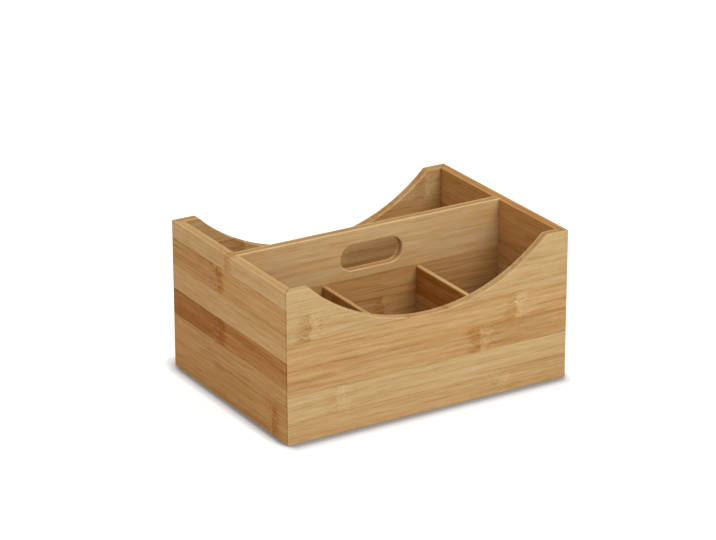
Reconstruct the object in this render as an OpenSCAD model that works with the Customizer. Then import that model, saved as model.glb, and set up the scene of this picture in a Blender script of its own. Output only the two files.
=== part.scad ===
// Open desk caddy in glued bamboo board: four mitred walls with scooped rims front and back,
// a middle board with a hand slot, two short dividers and a floor board held in grooves.
// The origin is at the centre of the footprint, on the surface that the caddy stands on.

/* [Body] */
// Outside width, left to right
body_w = 255; // [210:1:320]
// Outside depth, front to back
body_d = 182; // [150:1:240]
// Height of the rim
body_h = 125; // [105:1:160]
// Thickness of the four walls
wall_t = 8; // [7:0.5:12]

/* [Scoop] */
// Flat rim left at each end of the scooped walls, from the outside corner
shoulder_w = 20.5; // [14:0.5:40]
// Depth of the scoop below the rim, at its middle
scoop_drop = 43.5; // [20:0.5:55]
// Rounding where the flat rim turns down into the scoop
shoulder_r = 4; // [3:0.5:14]

/* [Middle board] */
// Thickness of the board across the middle
partition_t = 8; // [6:0.5:12]
// Distance of the board from the middle of the body, towards the back
partition_y = 0; // [-15:1:15]

/* [Hand slot] */
// Length of the slot, over its round ends
slot_w = 57; // [45:1:110]
// Height of the slot
slot_h = 22; // [18:0.5:30]
// Wood left above the slot
slot_rim = 12; // [9:0.5:20]

/* [Dividers] */
// Thickness of the two short dividers
divider_t = 3.5; // [3:0.5:6]
// Clear width of the middle bay between the dividers
centre_bay_w = 83; // [60:0.5:100]
// How far the dividers stand above the lowest point of the scoop
divider_rise = 2; // [-20:0.5:2]

/* [Floor] */
// Thickness of the floor board
base_t = 4; // [3:0.5:6]
// Air under the floor board
base_gap = 4; // [3:0.5:8]

/* [Joints] */
// Depth of the groove that holds the floor board
groove_depth = 3; // [2:0.25:4]
// Depth of the housing that holds each end of the middle board
housing_depth = 3; // [2:0.25:4]
// Depth of the housing that holds each end of a divider
divider_housing = 2; // [1:0.25:3]
// Play across a board in its groove or housing
slip = 0.1; // [0.05:0.05:0.3]
// Play between the edge of a board and the bottom of its groove
end_play = 0.25; // [0.1:0.05:0.5]
// Width of the loose key in each mitre
key_w = 5; // [3:0.25:6]
// Thickness of the key
key_t = 1.6; // [1:0.1:2]
// Distance of the key's middle from the inside faces of the walls
key_inset = 3.4; // [3:0.1:3.8]
// Solid wood left above the key
key_top_stop = 8; // [4:1:20]
// Solid wood left between the floor board's groove and the key
key_foot_stop = 4; // [2:1:20]

/* [Edges] */
// Rounding of the rim, the scoops, the middle board's top edge and the hand slot
edge_r = 0.6; // [0.5:0.1:2]
// Rounding of the upright outside corners and of the lower edges
corner_r = 1; // [0.4:0.1:1.5]
// Rounding of the dividers' top edges
divider_r = 0.5; // [0.4:0.1:1.4]

/* [Hidden] */
$fn = 96;

// Cutting tools run this far past the wood
over = 1;

inner_w = body_w - 2 * wall_t;
inner_d = body_d - 2 * wall_t;
base_top = base_gap + base_t;

// The scoop is one circular arc through its lowest point and both shoulders
scoop_half = body_w / 2 - shoulder_w;
scoop_r = (scoop_half * scoop_half + scoop_drop * scoop_drop) / (2 * scoop_drop);
scoop_low = body_h - scoop_drop;
scoop_z = scoop_low + scoop_r;

// Centre of the shoulder's rounding, touching both the flat rim and the scoop
shoulder_z = body_h - shoulder_r;
shoulder_x = sqrt(pow(scoop_r + shoulder_r, 2) - pow(scoop_z - shoulder_z, 2));
touch = scoop_r / (scoop_r + shoulder_r);
touch_x = shoulder_x * touch;
touch_z = scoop_z + (shoulder_z - scoop_z) * touch;

slot_z = body_h - slot_rim - slot_h / 2;
slot_half = slot_w / 2 - slot_h / 2;

divider_x = centre_bay_w / 2 + divider_t / 2;
divider_top = scoop_low + divider_rise;
partition_front = partition_y - partition_t / 2;
front_bay_d = partition_front + inner_d / 2;
divider_l = front_bay_d + 2 * (divider_housing - end_play);
divider_y = (partition_front - inner_d / 2) / 2;

key_z = base_top + slip + key_foot_stop;
key_l = body_h - key_top_stop - key_z;
key_corner = wall_t - key_inset;

light_bamboo = [0.80, 0.65, 0.45];
mid_bamboo = [0.74, 0.56, 0.35];
dark_bamboo = [0.66, 0.47, 0.28];
key_bamboo = [0.60, 0.44, 0.27];

// Cross-section of a board on edge, with its top corners and its foot rounded to their own radii
module edge_profile(thick, height, top_r, foot_r) {
    translate([-thick / 2, foot_r])
        square([thick, height - top_r - foot_r]);
    translate([-thick / 2 + top_r, foot_r])
        square([thick - 2 * top_r, height - foot_r]);
    for (side = [-1, 1])
        translate([side * (thick / 2 - top_r), height - top_r])
            circle(top_r);
    if (foot_r > 0) {
        translate([-thick / 2 + foot_r, 0])
            square([thick - 2 * foot_r, height / 2]);
        for (side = [-1, 1])
            translate([side * (thick / 2 - foot_r), foot_r])
                circle(foot_r);
    }
}

// Board on edge that runs left to right
module cross_board(length, thick, height, top_r, foot_r) {
    rotate([90, 0, 90])
        linear_extrude(length, center = true)
            edge_profile(thick, height, top_r, foot_r);
}

// Board on edge that runs front to back
module deep_board(length, thick, height, top_r, foot_r) {
    rotate([90, 0, 0])
        linear_extrude(length, center = true)
            edge_profile(thick, height, top_r, foot_r);
}

// Outline of the body from above, with its four corners eased
module body_outline() {
    square([body_w, body_d - 2 * corner_r], center = true);
    square([body_w - 2 * corner_r, body_d], center = true);
    for (x = [-1, 1], y = [-1, 1])
        translate([x * (body_w / 2 - corner_r), y * (body_d / 2 - corner_r)])
            circle(corner_r);
}

// Everything between the two mitres of the wall at -Y, or at -X where across is true
module mitre_sector(across) {
    far = over;
    near = wall_t + over;
    long = across ? body_d : body_w;
    deep = across ? body_w : body_d;
    rotate(across ? -90 : 0)
        polygon([
            [-long / 2 - far, -deep / 2 - far],
            [long / 2 + far, -deep / 2 - far],
            [long / 2 - near, -deep / 2 + near],
            [-long / 2 + near, -deep / 2 + near]
        ]);
}

// Cuts a wall to its mitres and eases the outside corners
module mitred(across) {
    intersection() {
        children();
        linear_extrude(body_h)
            intersection() {
                body_outline();
                mitre_sector(across);
            }
    }
}

// Loose key of one mitre, standing on the diagonal, with play round it and over it when cut out
module key(x, y, play) {
    translate([x * (body_w / 2 - key_corner), y * (body_d / 2 - key_corner), key_z])
        rotate(x * y * 45)
            translate([-key_t / 2 - play / 2, -key_w / 2 - play, 0])
                cube([key_t + play, key_w + 2 * play, key_l + play]);
}

module key_slots() {
    for (x = [-1, 1], y = [-1, 1])
        key(x, y, slip);
}

// Room for the floor board in the four walls
module base_groove() {
    translate([-inner_w / 2 - groove_depth, -inner_d / 2 - groove_depth, base_gap])
        cube([inner_w + 2 * groove_depth, inner_d + 2 * groove_depth, base_t + slip]);
}

// Half profile of a round cut through a board, flared where it meets both eased faces
module flared_cut_profile(radius, thick) {
    translate([0, -thick / 2 - over])
        square([radius, thick + 2 * over]);
    for (side = [0, 1])
        mirror([0, side])
            difference() {
                translate([0, thick / 2 - edge_r])
                    square([radius + edge_r, edge_r + over]);
                translate([radius + edge_r, thick / 2 - edge_r])
                    circle(edge_r);
            }
}

// Half profile of a round post as thick as a board, with eased ends and a core that runs past them
module eased_post_profile(radius, thick) {
    translate([0, -thick / 2 - over])
        square([radius - edge_r, thick + 2 * over]);
    translate([0, -thick / 2 + edge_r])
        square([radius, thick - 2 * edge_r]);
    for (side = [-1, 1])
        translate([radius - edge_r, side * (thick / 2 - edge_r)])
            circle(edge_r);
}

// Wood taken off one shoulder, outside its rounding
module shoulder_cut(side) {
    difference() {
        rotate([90, 0, 0])
            linear_extrude(wall_t + 2 * over, center = true)
                polygon([
                    [side * shoulder_x, shoulder_z],
                    [side * touch_x, touch_z],
                    [side * (touch_x - over), body_h + over],
                    [side * shoulder_x, body_h + over]
                ]);
        translate([side * shoulder_x, 0, shoulder_z])
            rotate([90, 0, 0])
                rotate_extrude()
                    eased_post_profile(shoulder_r, wall_t);
    }
}

// Scoop through a front or back wall that is centred on the X axis
module scoop_cut() {
    translate([0, 0, scoop_z])
        rotate([90, 0, 0])
            rotate_extrude()
                flared_cut_profile(scoop_r, wall_t);
    for (side = [-1, 1])
        shoulder_cut(side);
}

module scooped_wall() {
    difference() {
        mitred(false)
            translate([0, -body_d / 2 + wall_t / 2, 0])
                difference() {
                    cross_board(body_w, wall_t, body_h, edge_r, corner_r);
                    scoop_cut();
                }
        base_groove();
        key_slots();
    }
}

// Housings for the ends of both dividers, in the front wall and in the middle board
module divider_housings() {
    for (side = [-1, 1])
        translate([side * divider_x - (divider_t + slip) / 2,
                   -inner_d / 2 - divider_housing, base_top])
            cube([divider_t + slip, front_bay_d + 2 * divider_housing, divider_top + slip - base_top]);
}

module front_panel() {
    color(light_bamboo)
        difference() {
            scooped_wall();
            divider_housings();
        }
}

module back_panel() {
    color(light_bamboo)
        rotate(180)
            scooped_wall();
}

// Room for the ends of the middle board in the two end walls
module partition_housing() {
    translate([-inner_w / 2 - housing_depth, partition_y - (partition_t + slip) / 2, base_top])
        cube([inner_w + 2 * housing_depth, partition_t + slip, body_h - base_top + over]);
}

// End wall at -X
module end_wall() {
    difference() {
        mitred(true)
            translate([-body_w / 2 + wall_t / 2, 0, 0])
                deep_board(body_d, wall_t, body_h, edge_r, corner_r);
        base_groove();
        key_slots();
        partition_housing();
    }
}

module left_panel() {
    color(mid_bamboo)
        end_wall();
}

module right_panel() {
    color(mid_bamboo)
        mirror([1, 0, 0])
            end_wall();
}

module base_panel() {
    reach = groove_depth - end_play;
    color(dark_bamboo)
        translate([-inner_w / 2 - reach, -inner_d / 2 - reach, base_gap])
            cube([inner_w + 2 * reach, inner_d + 2 * reach, base_t]);
}

// Hand slot through the middle board, with round ends and flared edges
module slot_cut() {
    for (side = [-1, 1])
        translate([side * slot_half, 0, slot_z])
            rotate([90, 0, 0])
                rotate_extrude()
                    flared_cut_profile(slot_h / 2, partition_t);
    translate([0, 0, slot_z])
        rotate([90, 0, 90])
            linear_extrude(2 * slot_half, center = true)
                for (turn = [0, 1])
                    mirror([0, turn])
                        rotate(90)
                            flared_cut_profile(slot_h / 2, partition_t);
}

module handle_partition() {
    color(light_bamboo)
        difference() {
            translate([0, partition_y, 0])
                difference() {
                    translate([0, 0, base_top])
                        cross_board(inner_w + 2 * (housing_depth - end_play), partition_t,
                            body_h - base_top, edge_r, 0);
                    slot_cut();
                }
            divider_housings();
        }
}

module divider(side) {
    translate([side * divider_x, divider_y, base_top])
        deep_board(divider_l, divider_t, divider_top - base_top, divider_r, 0);
}

module left_divider() {
    color(mid_bamboo)
        divider(-1);
}

module right_divider() {
    color(mid_bamboo)
        divider(1);
}

module corner_keys() {
    color(key_bamboo)
        for (x = [-1, 1], y = [-1, 1])
            key(x, y, 0);
}

front_panel();
back_panel();
left_panel();
right_panel();
base_panel();
handle_partition();
left_divider();
right_divider();
corner_keys();
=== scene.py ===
# Looks of an open bamboo desk caddy, built round its packed boards.
# Places and lengths are metres in the frame, and millimetres inside the wood and floor materials.

import math
from collections import namedtuple

import bpy
from mathutils import Matrix, Vector


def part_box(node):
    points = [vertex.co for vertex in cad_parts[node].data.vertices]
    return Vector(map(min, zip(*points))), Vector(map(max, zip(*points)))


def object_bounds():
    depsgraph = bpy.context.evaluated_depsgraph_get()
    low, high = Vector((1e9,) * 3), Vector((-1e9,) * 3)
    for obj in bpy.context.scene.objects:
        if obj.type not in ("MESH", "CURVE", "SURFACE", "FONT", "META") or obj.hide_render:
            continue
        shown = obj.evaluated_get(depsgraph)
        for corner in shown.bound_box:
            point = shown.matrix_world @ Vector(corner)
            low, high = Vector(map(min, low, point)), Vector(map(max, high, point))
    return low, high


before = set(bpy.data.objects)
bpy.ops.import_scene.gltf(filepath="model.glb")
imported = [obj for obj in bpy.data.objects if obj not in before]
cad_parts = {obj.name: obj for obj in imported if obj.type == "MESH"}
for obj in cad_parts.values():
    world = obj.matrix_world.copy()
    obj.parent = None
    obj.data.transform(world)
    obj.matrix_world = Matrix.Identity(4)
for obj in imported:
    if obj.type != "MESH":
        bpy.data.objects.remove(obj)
cad_low, cad_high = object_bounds()

MM = 0.001

# Half the caddy's width, depth and height, in millimetres
HALF_BODY = (cad_high - cad_low) / 2 / MM

# Camera, at the photograph's viewing angle: degrees, metres, and millimetres for lens and sensor
CAMERA_AZIMUTH = -31.06
CAMERA_ELEVATION = 21.65
CAMERA_ROLL = -0.11
CAMERA_DISTANCE = 2.5408
CAMERA_TARGET = Vector((0.0241, 0.0572, 0.0625))
CAMERA_LENS = 157.36
CAMERA_SENSOR = 36.0

# Floor and sky: half the floor's side in metres, its grey, the glow that makes it white where it
# is seen, and the strength at which the sky lights the caddy
FLOOR_HALF = 6.0
FLOOR_GREY = 0.80
FLOOR_LIFT = 0.60
SKY_STRENGTH = 0.54

# Lamps, in metres and watts
KEY_PLACE = Vector((0.59, -1.38, 1.79))
KEY_SIZE = 1.3
KEY_WATTS = 30.0
FILL_PLACE = Vector((-1.9, -0.3, 0.9))
FILL_SIZE = 1.2
FILL_WATTS = 7.0
LAMP_AIM = Vector((0.0, 0.0, 0.05))

# Painted shadow on the floor round the caddy's foot: how far it reaches and how far its middle is
# shifted, in millimetres, and the roundness of its corners as a share of the reach
CONTACT_REACH_X = 9.5
CONTACT_REACH_Y = 19.0
CONTACT_SHIFT_X = -0.6
CONTACT_SHIFT_Y = -1.2
CONTACT_CORNER = 0.7

# Share of the light that the painted shadow leaves there, from the foot (0) to the end of the reach
# (1)
CONTACT_SHADES = (
    (0.0, 0.22), (0.13, 0.28), (0.25, 0.44), (0.4, 0.60), (0.6, 0.73), (0.8, 0.84), (1.0, 1.0))

# Bamboo strips that the boards are glued up from, in millimetres: their width, the farthest that
# a knuckle may lie from a board's middle, and how far apart in the grain neighbours are cut
STRIP_WIDTH = 21.5
KNUCKLE_REACH = 160.0
STRIP_SHIFT = 137.0

# A strip's grain slopes by up to half of this either way, as a share of its length
GRAIN_SLOPE = 0.02

# Glue lines, from where they are darkest to where they end, in millimetres, and how far a
# corner's lies beside its diagonal
GLUE_LINE = (0.10, 0.70)
SEAM_LINE = (0.20, 0.95)
SEAM_SET_BACK = 0.9

# Streaks and fibres along the grain: length and width in millimetres, then detail and roughness
FIBRE_MARKS = {
    "Broad": (150.0, 5.5, 2.0, 0.5),
    "Narrow": (75.0, 1.5, 3.0, 0.6),
    "Short": (17.0, 2.4, 3.0, 0.65),
    "Fibres": (26.0, 0.36, 2.0, 0.6),
}

# How much each mark darkens or pales the wood, reddens it, roughens it and raises it
DARKENS = {"Rust": 0.20, "Rusty Ring": 0.09, "Glue Line": 0.14, "Hairlines": 0.08, "Flecks": 0.06}
# Edge pales the rounded edges as a painted highlight and as wear
PALES = {"Broad": 0.12, "Narrow": 0.34, "Short": 0.17, "Fibres": 0.18, "Cream": 0.11, "Edge": 0.10}
REDDENS = {"Rust": 0.35, "Cream": -0.20, "Broad": -0.60, "Short": -0.50, "Narrow": -0.40}
ROUGHENS = {"Fibres": 0.25, "Rust": 0.08}
RAISES = {"Fibres": 0.8, "Flecks": -0.5, "Glue Line": -0.5, "Ring": 0.6}
SEAM_DARKENS = 0.20

# Lacquer, and the grain's relief under it: its strength, and its depth in metres
LACQUER_ROUGHNESS = 0.55
LACQUER_SPECULAR = 0.05
GRAIN_STRENGTH = 0.5
GRAIN_DEPTH = 0.00008

# Bamboo from dark to pale: the shade, then red, green and blue display values
YELLOW_BAMBOO = (
    (0.0, 104, 70, 30), (0.35, 162, 122, 70), (0.65, 199, 167, 118), (1.0, 228, 204, 162))
RED_BAMBOO = (
    (0.0, 92, 46, 14), (0.35, 158, 96, 36), (0.65, 199, 146, 84), (1.0, 228, 190, 136))

# One strip of a board: its tone from dark to pale, how red it is, how much paler it is past its
# knuckle, where that knuckle sits along the board (millimetres from the middle), and how pale
# and how rusty the knuckle is. A strip that shows no knuckle has it past the board's end, as the
# defaults do. One that is neither pale nor rusty shows only in the strip's tone, fibres and relief.
# On the partition and the right divider, some strips' tones also hold painted light and shade.
Strip = namedtuple("Strip", "shade warmth step knuckle cream rust", defaults=(0.0, 150.0, 0.5, 0.5))

# A dark streak along a board: the height of its middle, its thickness, the places where it starts
# and is strongest, and its strength
Streak = namedtuple("Streak", "height thickness start full strength")

# One board: the frame's axes along, across and through it, the place across it at which its first
# strip starts, a number that shifts its grain, the strength of the darker ply in its core, its
# strips in order, how much its core darkens over CORE_GAIN_LENGTH along it, and its dark streaks
Board = namedtuple("Board", "axes first_edge shift core strips core_gain streaks", defaults=(0.0, ()))
CORE_GAIN_LENGTH = 100.0

BOARDS = {
    "front_panel": Board("XZY", first_edge=-3.5, shift=0.0, core=0.09, core_gain=0.06, strips=(
        Strip(0.60, 0.14, -0.03, 62.0, 0.70, 0.00),
        Strip(0.66, 0.03, 0.00, -83.5, 0.60, 0.20),
        Strip(0.59, 0.32, -0.04, 46.0, 0.60, 0.62),
        Strip(0.62, 0.35, 0.01, 79.0, 0.90, 0.35),
        Strip(0.63, 0.05, 0.00, -107.0, 0.55, 0.60),
        Strip(0.66, 0.03, -0.03, 0.0, 0.00, 0.00),
    ), streaks=(
        Streak(19.5, 4.5, 10.0, 110.0, 0.15),
        Streak(59.0, 2.6, 50.0, 120.0, 0.10),
        Streak(50.0, 3.4, 20.0, -100.0, 0.07),
        Streak(68.5, 1.6, 70.0, 120.0, 0.10),
    )),
    "back_panel": Board("XZY", first_edge=-7.0, shift=900.0, core=0.12, strips=(
        Strip(0.58, 0.34, 0.00, -40.0, 0.60, 0.40),
        Strip(0.63, 0.20, 0.02, 88.0, 0.50, 0.60),
        Strip(0.54, 0.55, -0.03, -96.0, 0.40, 0.80),
        Strip(0.61, 0.28, 0.00, 20.0, 0.70, 0.50),
        Strip(0.57, 0.40, 0.02, -66.0, 0.50, 0.70),
        Strip(0.63, 0.20, 0.00, 104.0, 0.50, 0.50),
        Strip(0.60, 0.30, 0.00, 150.0, 0.40, 0.40),
    ), streaks=(
        Streak(71.0, 3.0, 40.0, -100.0, 0.10),
        Streak(33.0, 2.4, -20.0, 100.0, 0.08),
    )),
    "left_panel": Board("YZX", first_edge=-18.0, shift=300.0, core=0.08, strips=(
        Strip(0.55, 0.72, 0.00, -67.0, 0.10, 0.50),
        Strip(0.55, 0.72, 0.00, -67.0, 0.10, 0.70),
        Strip(0.54, 0.60, 0.00, 150.0, 0.40, 0.40),
        Strip(0.47, 0.85, -0.13, 15.0, 0.60, 0.75),
        Strip(0.63, 0.50, -0.02, 10.0, 0.00, 0.00),
        Strip(0.61, 0.72, -0.09, 18.0, 0.00, 1.00),
        Strip(0.67, 0.35, -0.02, 5.0, 0.10, 0.70),
    ), streaks=(
        Streak(61.0, 11.0, 10.0, -30.0, 0.07),
        Streak(27.0, 3.5, 70.0, -30.0, 0.09),
        Streak(109.5, 2.0, -20.0, 60.0, 0.10),
        Streak(67.0, 2.4, 20.0, 90.0, 0.06),
        Streak(90.5, 1.6, 10.0, -60.0, 0.10),
    )),
    "right_panel": Board("YZX", first_edge=-12.0, shift=600.0, core=0.08, strips=(
        Strip(0.50, 0.60, 0.00, 30.0, 0.40, 0.50),
        Strip(0.58, 0.45, 0.00, -60.0, 0.60, 0.40),
        Strip(0.46, 0.75, 0.04, 62.0, 0.30, 0.70),
        Strip(0.56, 0.50, 0.00, -20.0, 0.60, 0.50),
        Strip(0.50, 0.65, -0.04, 40.0, 0.40, 0.60),
        Strip(0.56, 0.82, 0.00, 150.0, 0.30, 0.60),
        Strip(0.56, 0.82, 0.00, 150.0, 0.30, 0.60),
    ), streaks=(
        Streak(44.0, 3.0, -60.0, 80.0, 0.09),
    )),
    # Its two upper strips are painted paler as light falling on its upper part, and the strips below
    # darker and redder as painted shade
    "handle_partition": Board("XZY", first_edge=-1.0, shift=1200.0, core=0.32, strips=(
        Strip(0.55, 0.55, 0.00, 90.0, 0.50, 0.50),
        Strip(0.54, 0.60, 0.00, -60.0, 0.60, 0.40),
        Strip(0.56, 0.60, 0.00, 10.0, 0.50, 0.50),
        Strip(0.58, 0.55, 0.00, -100.0, 0.60, 0.40),
        Strip(0.73, 0.40, 0.00, 150.0, 0.60, 0.40),
        Strip(0.75, 0.36, 0.00, 150.0, 0.60, 0.40),
    )),
    "left_divider": Board("YZX", first_edge=-4.0, shift=1500.0, core=0.04, strips=(
        Strip(0.52, 0.60, 0.00, 60.0, 0.50, 0.50),
        Strip(0.50, 0.65, 0.00, -60.0, 0.50, 0.50),
        Strip(0.54, 0.60),
        Strip(0.50, 0.70, 0.00, -20.0, 0.50, 0.50),
        Strip(0.64, 0.50),
    )),
    # Its fourth strip is painted darker as shade cast on its face, and its top strip paler as painted
    # light on its top
    "right_divider": Board("YZX", first_edge=-4.0, shift=1800.0, core=0.04, strips=(
        Strip(0.52, 0.60, 0.00, 60.0, 0.50, 0.50),
        Strip(0.54, 0.55, 0.00, -30.0, 0.50, 0.50),
        Strip(0.50, 0.65),
        Strip(0.43, 0.95),
        Strip(0.74, 0.50),
    )),
    "base_panel": Board("XYZ", first_edge=-4.5 * STRIP_WIDTH, shift=2100.0, core=0.08, strips=(
        Strip(0.56, 0.42, 0.00, -70.0, 0.50, 0.50),
        Strip(0.51, 0.50, 0.00, 40.0, 0.50, 0.50),
        Strip(0.59, 0.40, 0.00, -10.0, 0.50, 0.50),
        Strip(0.54, 0.45, 0.00, 96.0, 0.50, 0.50),
        Strip(0.50, 0.55, 0.00, -100.0, 0.50, 0.50),
        Strip(0.58, 0.38, 0.00, 60.0, 0.50, 0.50),
        Strip(0.53, 0.48, 0.00, -36.0, 0.50, 0.50),
        Strip(0.60, 0.36, 0.00, 22.0, 0.50, 0.50),
        Strip(0.55, 0.44, 0.00, -84.0, 0.50, 0.50),
    )),
    "corner_keys": Board("ZXY", first_edge=-200.0, shift=2400.0, core=0.0, strips=(
        Strip(0.50, 0.45),
    )),
}

# The walls whose rims show the glue lines of the mitred corners
END_WALLS = ("left_panel", "right_panel")


def linear(red, green, blue):
    """Colour from three display values of 0 to 255, by the standard display curve."""
    def decoded(value):
        share = value / 255
        return share / 12.92 if share <= 0.04045 else ((share + 0.055) / 1.055) ** 2.4
    return (decoded(red), decoded(green), decoded(blue), 1.0)


class Graph:
    """Nodes of one shader tree. Its calls take and give sockets or plain values."""

    def __init__(self, tree):
        self.tree = tree

    def feed(self, socket, value):
        if isinstance(value, bpy.types.NodeSocket):
            self.tree.links.new(value, socket)
        else:
            socket.default_value = value

    def add(self, kind, feeds=None, **settings):
        node = self.tree.nodes.new("ShaderNode" + kind)
        for name, value in settings.items():
            setattr(node, name, value)
        for key, value in (feeds or {}).items():
            self.feed(node.inputs[key], value)
        return node

    def group(self, tree, **values):
        """Places a node group, with its inputs given by name and underscores for spaces."""
        node = self.add("Group", node_tree=tree)
        for name, value in values.items():
            self.feed(node.inputs[name.replace("_", " ")], value)
        return node.outputs

    def math(self, operation, *values):
        return self.add("Math", dict(enumerate(values)), operation=operation).outputs[0]

    def in_turn(self, operation, first, rest):
        for value in rest:
            first = self.math(operation, first, value)
        return first

    def total(self, first, *rest):
        return self.in_turn("ADD", first, rest)

    def less(self, first, *rest):
        return self.in_turn("SUBTRACT", first, rest)

    def product(self, first, *rest):
        return self.in_turn("MULTIPLY", first, rest)

    def ratio(self, first, second):
        return self.math("DIVIDE", first, second)

    def absolute(self, value):
        return self.math("ABSOLUTE", value)

    def weighted(self, marks, amounts):
        """The named marks, each times its amount."""
        return [self.product(marks[name], amount) for name, amount in amounts.items()]

    def fade(self, value, low, high, start=0.0, end=1.0):
        """Smooth step from start, where the value is low, to end, where it is high."""
        feeds = {0: value, 1: low, 2: high, 3: start, 4: end}
        return self.add("MapRange", feeds, interpolation_type="SMOOTHSTEP").outputs[0]

    def fade_out(self, value, low, high, start=1.0):
        """Smooth step from start down to nothing."""
        return self.fade(value, low, high, start, end=0.0)

    def vector(self, operation, *values):
        return self.add("VectorMath", dict(enumerate(values)), operation=operation).outputs[0]

    def split(self, vector):
        return self.add("SeparateXYZ", {0: vector}).outputs

    def by_axis(self, vector):
        return dict(zip("XYZ", self.split(vector)))

    def join(self, x, y, z):
        return self.add("CombineXYZ", {0: x, 1: y, 2: z}).outputs[0]

    def millimetres(self):
        """Place in the frame, in millimetres."""
        metres = self.add("TexCoord").outputs["Object"]
        return self.vector("MULTIPLY", metres, (1 / MM, 1 / MM, 1 / MM))

    def marks(self, grain, long, wide, detail=2.0, roughness=0.5):
        """Noise of 0 to 1 whose marks are that long and that wide, in millimetres."""
        place = self.vector("MULTIPLY", grain, (1 / long, 1 / wide, 1 / wide))
        feeds = {"Vector": place, "Scale": 1.0, "Detail": detail, "Roughness": roughness}
        return self.add("TexNoise", feeds).outputs[0]

    def wander(self, grain, long, wide, reach=1.0, detail=2.0, roughness=0.5):
        """The same noise, from minus to plus half of reach."""
        value = self.marks(grain, long, wide, detail, roughness)
        return self.product(self.less(value, 0.5), reach)

    def ramp(self, factor, stops, interpolation="LINEAR"):
        node = self.add("ValToRGB", {0: factor})
        node.color_ramp.interpolation = interpolation
        elements = node.color_ramp.elements
        elements[0].position, elements[0].color = stops[0]
        elements.remove(elements[1])
        for position, colour in stops[1:]:
            elements.new(position).color = colour
        return node.outputs[0]

    def mix(self, factor, first, second):
        """Mixes two colours."""
        return self.add("Mix", {0: factor, 6: first, 7: second}, data_type="RGBA").outputs[2]


def empty_graph(owner):
    """The cleared shader tree of a material or a world."""
    owner.use_nodes = True
    owner.node_tree.nodes.clear()
    return Graph(owner.node_tree)


def start_group(name, inputs, outputs):
    """New node group. A socket named Place or ending in Grain is a vector, one that ends in
    Colour is a colour, and the others are floats."""
    tree = bpy.data.node_groups.new(name, "ShaderNodeTree")
    for direction, sockets in (("INPUT", inputs), ("OUTPUT", outputs)):
        for socket in sockets:
            kind = "NodeSocketFloat"
            if socket.endswith("Grain") or socket == "Place":
                kind = "NodeSocketVector"
            if socket.endswith("Colour"):
                kind = "NodeSocketColor"
            tree.interface.new_socket(socket, in_out=direction, socket_type=kind)
    given = tree.nodes.new("NodeGroupInput")
    result = tree.nodes.new("NodeGroupOutput")
    return Graph(tree), given.outputs, result.inputs


def make_strip_layout():
    """Divides a board into glued strips, each with grain of its own."""
    graph, given, result = start_group(
        "strip_layout",
        ("Board Grain", "Strip Width", "First Edge"),
        ("Strip", "Glue Line", "Strip Grain"))
    along, across, through = graph.split(given["Board Grain"])
    place = graph.ratio(graph.less(across, given["First Edge"]), given["Strip Width"])
    strip = graph.math("FLOOR", place)
    within = graph.less(place, strip, 0.5)
    to_edge = graph.product(graph.less(0.5, graph.absolute(within)), given["Strip Width"])
    chance = graph.add("TexWhiteNoise", {"W": strip}, noise_dimensions="1D").outputs[0]
    slope = graph.product(graph.less(chance, 0.5), GRAIN_SLOPE)
    drift = graph.product(along, slope)
    shift = graph.product(strip, STRIP_SHIFT)
    wave_place = graph.join(along, graph.total(across, shift), through)
    wave = graph.wander(wave_place, long=60.0, wide=25.0, reach=2.4, detail=1.0)
    patches = graph.fade(graph.marks(wave_place, long=38.0, wide=9.0), 0.42, 0.62, start=0.15)
    graph.feed(result["Strip"], strip)
    graph.feed(result["Glue Line"], graph.product(graph.fade_out(to_edge, *GLUE_LINE), patches))
    graph.feed(result["Strip Grain"], graph.join(
        graph.total(along, shift),
        graph.total(across, drift, wave, shift),
        through))
    return graph.tree


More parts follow.
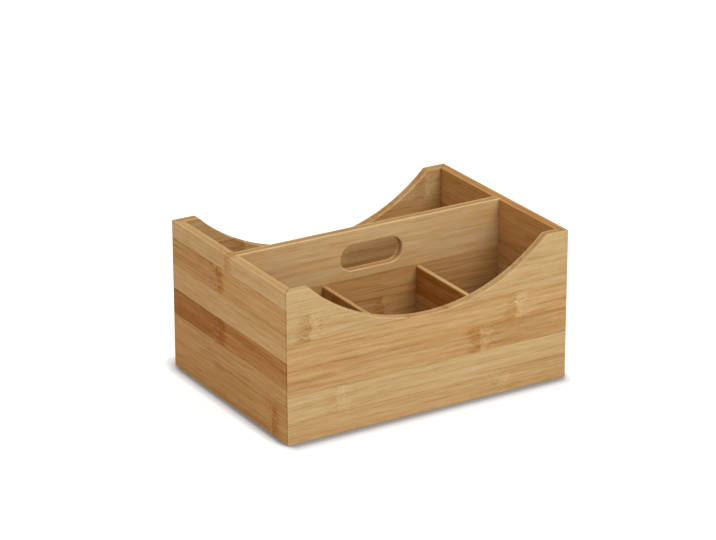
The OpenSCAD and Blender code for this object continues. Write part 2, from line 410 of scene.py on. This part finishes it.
def make_knuckle():
    """The ring where a bamboo cane was jointed. Rust fades towards one side of the ring's dark
    line, and pale bent fibres with rusty spots lie on the other."""
    graph, given, result = start_group(
        "knuckle", ("Strip Grain", "From Knuckle"),
        ("Rust", "Cream", "Ring", "Past", "Bent Grain"))
    grain = given["Strip Grain"]

    # Where each mark begins and where it ends, in millimetres past the ring
    rust_begins, rust_ends = (-13.0, -6.0), (-1.2, 1.0)
    cream_begins, cream_ends = (-0.4, 1.6), (6.0, 13.0)
    spots_begin, spots_end = (0.5, 2.0), (8.0, 13.0)
    tone_changes = (-2.5, 2.5)

    # The dark line's place and the fade on its two sides, then how far fibres bend, and where
    # that fades
    line_place, line_fade = -0.6, (0.3, 1.2)
    bend_reach, bend_fade = 6.0, (3.0, 20.0)

    bow = graph.wander(grain, long=300.0, wide=8.0, reach=6.0, detail=1.0)
    nibbled = graph.wander(grain, long=5.0, wide=1.1, reach=3.0)
    ring = graph.total(given["From Knuckle"], bow, nibbled)
    ragged = graph.wander(grain, long=18.0, wide=1.5, reach=22.0, detail=3.0, roughness=0.6)
    loose = graph.total(ring, ragged)

    threads = graph.fade(graph.marks(grain, long=4.0, wide=0.9), 0.38, 0.58, start=0.60)
    clouds = graph.fade(graph.marks(grain, long=9.0, wide=5.0, detail=1.0), 0.34, 0.60, start=0.65)
    rust = graph.product(
        graph.fade(loose, *rust_begins), graph.fade_out(ring, *rust_ends), threads, clouds)
    spots = graph.fade(graph.marks(grain, long=3.2, wide=2.0, detail=1.0), 0.56, 0.66)
    spots = graph.product(
        spots, graph.fade(ring, *spots_begin), graph.fade_out(loose, *spots_end, start=0.7))
    bars = graph.fade(graph.marks(grain, long=1.5, wide=3.0, detail=1.0), 0.40, 0.58, start=0.10)
    cream = graph.product(
        graph.fade(ring, *cream_begins), graph.fade_out(loose, *cream_ends), bars)
    line = graph.fade_out(graph.absolute(graph.less(ring, line_place)), *line_fade)
    breaks = graph.fade(graph.marks(grain, long=60.0, wide=3.0), 0.40, 0.58)

    graph.feed(result["Rust"], graph.math("MAXIMUM", rust, spots))
    graph.feed(result["Cream"], cream)
    graph.feed(result["Ring"], graph.product(line, breaks))
    graph.feed(result["Past"], graph.fade(ring, *tone_changes))
    bend = graph.fade_out(graph.absolute(given["From Knuckle"]), *bend_fade, start=bend_reach)
    swirl = graph.wander(grain, long=5.0, wide=5.0, reach=bend, detail=1.0)
    graph.feed(result["Bent Grain"], graph.vector("ADD", grain, graph.join(0.0, swirl, 0.0)))
    return graph.tree


def make_fibres():
    """Streaks of three sizes, fine fibres, hairlines and dark flecks that run along the grain."""
    graph, given, result = start_group(
        "fibres", ("Bent Grain",), (*FIBRE_MARKS, "Hairlines", "Flecks"))
    grain = given["Bent Grain"]
    for name, (long, wide, detail, roughness) in FIBRE_MARKS.items():
        mark = graph.wander(grain, long, wide, detail=detail, roughness=roughness)
        graph.feed(result[name], mark)
    contour = graph.wander(grain, long=120.0, wide=2.6, reach=2.0, roughness=0.55)
    hairlines = graph.fade_out(graph.absolute(contour), 0.02, 0.16)
    faint = graph.fade(graph.marks(grain, long=40.0, wide=4.0), 0.40, 0.62, start=0.1)
    graph.feed(result["Hairlines"], graph.product(hairlines, faint))
    flecks = graph.marks(grain, long=9.0, wide=0.34, detail=1.0)
    graph.feed(result["Flecks"], graph.fade(flecks, 0.62, 0.74))
    return graph.tree


def make_dark_streak():
    """One darker streak with ragged edges, which strengthens along the board."""
    graph, given, result = start_group(
        "dark_streak",
        ("Strip Grain", "Along", "Height", "Middle", "Thickness", "Start", "Full"),
        ("Mask",))
    thickness = given["Thickness"]
    ragged = graph.wander(given["Strip Grain"], long=45.0, wide=1.2, reach=thickness)
    off = graph.absolute(graph.total(graph.less(given["Height"], given["Middle"]), ragged))
    body = graph.fade_out(graph.ratio(off, graph.product(thickness, 0.5)), 0.35, 1.0)
    run = graph.less(given["Full"], given["Start"])
    reached = graph.ratio(graph.less(given["Along"], given["Start"]), run)
    graph.feed(result["Mask"], graph.product(body, graph.fade(reached, 0.0, 1.0)))
    return graph.tree


def make_core_line():
    """The board's darker middle ply, which shows where its thickness is cut."""
    graph, given, result = start_group(
        "core_line", ("Strip Grain", "Through", "Middle", "Half Thickness"), ("Core",))
    off = graph.absolute(graph.less(given["Through"], given["Middle"]))
    share = graph.ratio(off, given["Half Thickness"])
    uneven = graph.wander(given["Strip Grain"], long=50.0, wide=2.5, reach=0.5)
    graph.feed(result["Core"], graph.fade_out(graph.total(share, uneven), 0.08, 0.85))
    return graph.tree


def make_eased_edge():
    """Mask of the rounded edges between a board's broad faces and its narrow ones, which are painted
    paler there as a highlight and as wear.
    """
    graph, given, result = start_group("eased_edge", ("Through Normal", "Strip Grain"), ("Edge",))
    squared = graph.product(given["Through Normal"], given["Through Normal"])
    # This is 1 halfway round the edge, and 0 on the faces beside it
    ridge = graph.product(squared, graph.less(1.0, squared), 4.0)
    # Patches of painted highlight and wear along the edge
    highlight_and_wear = graph.fade(graph.marks(given["Strip Grain"], long=14.0, wide=3.0), 0.35, 0.65, start=0.55)
    graph.feed(result["Edge"], graph.product(graph.fade(ridge, 0.10, 0.70), highlight_and_wear))
    return graph.tree


def make_mitre_seam():
    """Glue line of a corner, which shows beside the diagonal where two walls meet."""
    graph, given, result = start_group(
        "mitre_seam", ("Place", "Half Width", "Half Depth", "Set Back"), ("Seam",))
    x, y, _ = graph.split(given["Place"])
    from_side = graph.less(given["Half Width"], graph.absolute(x))
    from_end = graph.less(given["Half Depth"], graph.absolute(y))
    beside = graph.absolute(graph.less(from_end, from_side, given["Set Back"]))
    graph.feed(result["Seam"], graph.fade_out(beside, *SEAM_LINE))
    return graph.tree


def make_bamboo_palette():
    """Bamboo colours from dark to pale, on a yellow and on a red scale."""
    graph, given, result = start_group("bamboo_palette", ("Shade", "Warmth"), ("Wood Colour",))
    yellow, red = (
        graph.ramp(given["Shade"], [(shade, linear(*display)) for shade, *display in scale])
        for scale in (YELLOW_BAMBOO, RED_BAMBOO))
    graph.feed(result["Wood Colour"], graph.mix(given["Warmth"], yellow, red))
    return graph.tree


STRIP_LAYOUT = make_strip_layout()
KNUCKLE = make_knuckle()
FIBRES = make_fibres()
DARK_STREAK = make_dark_streak()
CORE_LINE = make_core_line()
EASED_EDGE = make_eased_edge()
MITRE_SEAM = make_mitre_seam()
BAMBOO_PALETTE = make_bamboo_palette()


def strip_values(graph, number, board):
    """What the board's list says of the strip of that number, as sockets. Ramps hold 0 to 1, so
    steps and places are shifted."""
    count = len(board.strips)
    middle = graph.ratio(graph.total(number, 0.5), float(count))
    tones = [(i / count, (s.shade, s.warmth, 0.5 + s.step, 1.0)) for i, s in enumerate(board.strips)]
    knots = [(i / count, (0.5 + s.knuckle / (2 * KNUCKLE_REACH), s.cream, s.rust, 1.0))
             for i, s in enumerate(board.strips)]
    shade, warmth, step = graph.split(graph.ramp(middle, tones, "CONSTANT"))
    share, cream, rust = graph.split(graph.ramp(middle, knots, "CONSTANT"))
    knuckle = graph.product(graph.less(share, 0.5), 2 * KNUCKLE_REACH)
    return Strip(shade, warmth, graph.less(step, 0.5), knuckle, cream, rust)


def board_darkening(graph, name, board, millimetres, strip_grain):
    """A board's dark streaks, core and corner seams, each times how dark it is."""
    place = graph.by_axis(millimetres)
    along, across, through = board.axes
    darker = []
    for streak in board.streaks:
        mask = graph.group(
            DARK_STREAK, Strip_Grain=strip_grain, Along=place[along], Height=place[across],
            Middle=streak.height, Thickness=streak.thickness,
            Start=streak.start, Full=streak.full)["Mask"]
        darker.append(graph.product(mask, streak.strength))
    if board.core:
        low, high = (corner["XYZ".index(through)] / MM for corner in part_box(name))
        core = graph.group(
            CORE_LINE, Strip_Grain=strip_grain, Through=place[through],
            Middle=(low + high) / 2, Half_Thickness=(high - low) / 2)["Core"]
        gain = board.core_gain / CORE_GAIN_LENGTH
        darker.append(graph.product(core, graph.math("MULTIPLY_ADD", place[along], gain, board.core)))
    if name in END_WALLS:
        seam = graph.group(
            MITRE_SEAM, Place=millimetres, Half_Width=HALF_BODY.x, Half_Depth=HALF_BODY.y,
            Set_Back=SEAM_SET_BACK)["Seam"]
        darker.append(graph.product(seam, SEAM_DARKENS))
    return darker


def make_bamboo(name, board):
    """Lacquered bamboo board."""
    material = bpy.data.materials.new(name)
    graph = empty_graph(material)
    output = graph.add("OutputMaterial")
    shader = graph.add("BsdfPrincipled")
    graph.feed(output.inputs["Surface"], shader.outputs[0])

    millimetres = graph.millimetres()
    place = graph.by_axis(millimetres)
    normal = graph.by_axis(graph.add("TexCoord").outputs["Normal"])
    along, across, through = board.axes
    grain = graph.join(graph.total(place[along], board.shift), place[across], place[through])

    layout = graph.group(
        STRIP_LAYOUT, Board_Grain=grain, Strip_Width=STRIP_WIDTH, First_Edge=board.first_edge)
    strip = strip_values(graph, layout["Strip"], board)
    strip_grain = layout["Strip Grain"]
    from_knuckle = graph.less(place[along], strip.knuckle)
    knuckle = graph.group(KNUCKLE, Strip_Grain=strip_grain, From_Knuckle=from_knuckle)
    wood = graph.group(FIBRES, Bent_Grain=knuckle["Bent Grain"])
    eased = graph.group(EASED_EDGE, Through_Normal=normal[through], Strip_Grain=strip_grain)

    marks = {socket.name: socket for outputs in (layout, knuckle, wood, eased) for socket in outputs}
    marks["Rusty Ring"] = graph.product(marks["Ring"], strip.rust)
    marks["Cream"] = graph.product(marks["Cream"], strip.cream)
    marks["Rust"] = graph.product(marks["Rust"], strip.rust)

    shade = graph.total(strip.shade, graph.product(strip.step, marks["Past"]))
    shade = graph.less(
        shade,
        *graph.weighted(marks, DARKENS),
        *board_darkening(graph, name, board, millimetres, strip_grain))
    shade = graph.total(shade, *graph.weighted(marks, PALES))
    warmth = graph.total(strip.warmth, *graph.weighted(marks, REDDENS))
    colour = graph.group(BAMBOO_PALETTE, Shade=shade, Warmth=warmth)["Wood Colour"]
    graph.feed(shader.inputs["Base Color"], colour)

    rough = graph.total(LACQUER_ROUGHNESS, *graph.weighted(marks, ROUGHENS))
    graph.feed(shader.inputs["Roughness"], rough)
    shader.inputs["Specular IOR Level"].default_value = LACQUER_SPECULAR
    height = graph.total(*graph.weighted(marks, RAISES))
    feeds = {"Strength": GRAIN_STRENGTH, "Distance": GRAIN_DEPTH, "Height": height}
    graph.feed(shader.inputs["Normal"], graph.add("Bump", feeds).outputs[0])
    return material


def dress_boards():
    """Gives each board its bamboo."""
    for name, board in BOARDS.items():
        material = make_bamboo(name, board)
        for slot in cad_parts[name].material_slots:
            slot.material = material


def seen_directly(graph):
    """1 for camera, mirror and glass rays, which see the white background, and 0 for light."""
    path = graph.add("LightPath").outputs
    seen = graph.math("MAXIMUM", path["Is Camera Ray"], path["Is Glossy Ray"])
    return graph.math("MAXIMUM", seen, path["Is Transmission Ray"])


def contact_shade(graph):
    """Painted shadow on the floor close to the caddy's foot: the share of light left, with rounded
    corners.
    """
    x, y, _ = graph.split(graph.millimetres())

    def beyond(value, shift, half, reach):
        outside = graph.less(graph.absolute(graph.less(value, shift)), half)
        outside = graph.total(graph.ratio(outside, reach), CONTACT_CORNER)
        return graph.math("MAXIMUM", outside, 0.0)

    offset = graph.join(
        beyond(x, CONTACT_SHIFT_X, HALF_BODY.x, CONTACT_REACH_X),
        beyond(y, CONTACT_SHIFT_Y, HALF_BODY.y, CONTACT_REACH_Y),
        0.0)
    spread = graph.add("VectorMath", {0: offset}, operation="LENGTH").outputs["Value"]
    spread = graph.less(spread, CONTACT_CORNER)
    stops = [(place, (share, share, share, 1.0)) for place, share in CONTACT_SHADES]
    return graph.ramp(spread, stops)


def make_floor():
    """Pale floor that shows white and keeps the caddy's shadow, with a painted shadow round its foot.
    """
    sides = ((-1, -1), (1, -1), (1, 1), (-1, 1))
    corners = [(x * FLOOR_HALF, y * FLOOR_HALF, 0) for x, y in sides]
    mesh = bpy.data.meshes.new("floor")
    mesh.from_pydata(corners, [], [(0, 1, 2, 3)])
    floor = bpy.data.objects.new("floor", mesh)
    bpy.context.scene.collection.objects.link(floor)

    material = bpy.data.materials.new("floor_paper")
    graph = empty_graph(material)
    output = graph.add("OutputMaterial")
    seen = seen_directly(graph)
    contact = graph.less(contact_shade(graph), 1.0)
    contact = graph.math("MULTIPLY_ADD", seen, contact, 1.0)
    grey = graph.product(contact, FLOOR_GREY)
    paper = graph.add("BsdfDiffuse", {"Color": graph.join(grey, grey, grey)})
    lift = graph.add("Emission", {"Strength": graph.product(seen, contact, FLOOR_LIFT)})
    both = graph.add("AddShader", {0: paper.outputs[0], 1: lift.outputs[0]})
    graph.feed(output.inputs["Surface"], both.outputs[0])
    mesh.materials.append(material)


def make_sky():
    """Sky that lights the caddy plainly and is seen as white."""
    world = bpy.data.worlds.new("studio")
    graph = empty_graph(world)
    output = graph.add("OutputWorld")
    strength = graph.fade(seen_directly(graph), 0.0, 1.0, start=SKY_STRENGTH)
    sky = graph.add("Background", {"Color": (1.0, 1.0, 1.0, 1.0), "Strength": strength})
    graph.feed(output.inputs["Surface"], sky.outputs[0])
    bpy.context.scene.world = world


def make_lamp(name, place, size, watts):
    """Square soft lamp that faces the caddy."""
    data = bpy.data.lights.new(name, "AREA")
    data.shape = "SQUARE"
    data.size = size
    data.energy = watts
    lamp = bpy.data.objects.new(name, data)
    lamp.location = place
    lamp.rotation_mode = "QUATERNION"
    lamp.rotation_quaternion = (LAMP_AIM - place).to_track_quat("-Z", "Y")
    bpy.context.scene.collection.objects.link(lamp)


def make_camera():
    """Camera that looks at its target from the photograph's side."""
    azimuth = math.radians(CAMERA_AZIMUTH)
    elevation = math.radians(CAMERA_ELEVATION)
    back = Vector((
        math.sin(azimuth) * math.cos(elevation),
        -math.cos(azimuth) * math.cos(elevation),
        math.sin(elevation)))
    data = bpy.data.cameras.new("camera")
    data.lens = CAMERA_LENS
    data.sensor_width = CAMERA_SENSOR
    camera = bpy.data.objects.new("camera", data)
    roll = Matrix.Rotation(math.radians(CAMERA_ROLL), 3, "Z")
    turn = (-back).to_track_quat("-Z", "Y").to_matrix() @ roll
    camera.matrix_world = Matrix.Translation(CAMERA_TARGET + back * CAMERA_DISTANCE) @ turn.to_4x4()
    bpy.context.scene.collection.objects.link(camera)
    bpy.context.scene.camera = camera


make_camera()
make_sky()
make_floor()
make_lamp("key_lamp", KEY_PLACE, KEY_SIZE, KEY_WATTS)
make_lamp("fill_lamp", FILL_PLACE, FILL_SIZE, FILL_WATTS)
dress_boards()
bpy.context.scene.view_settings.view_transform = "Standard"
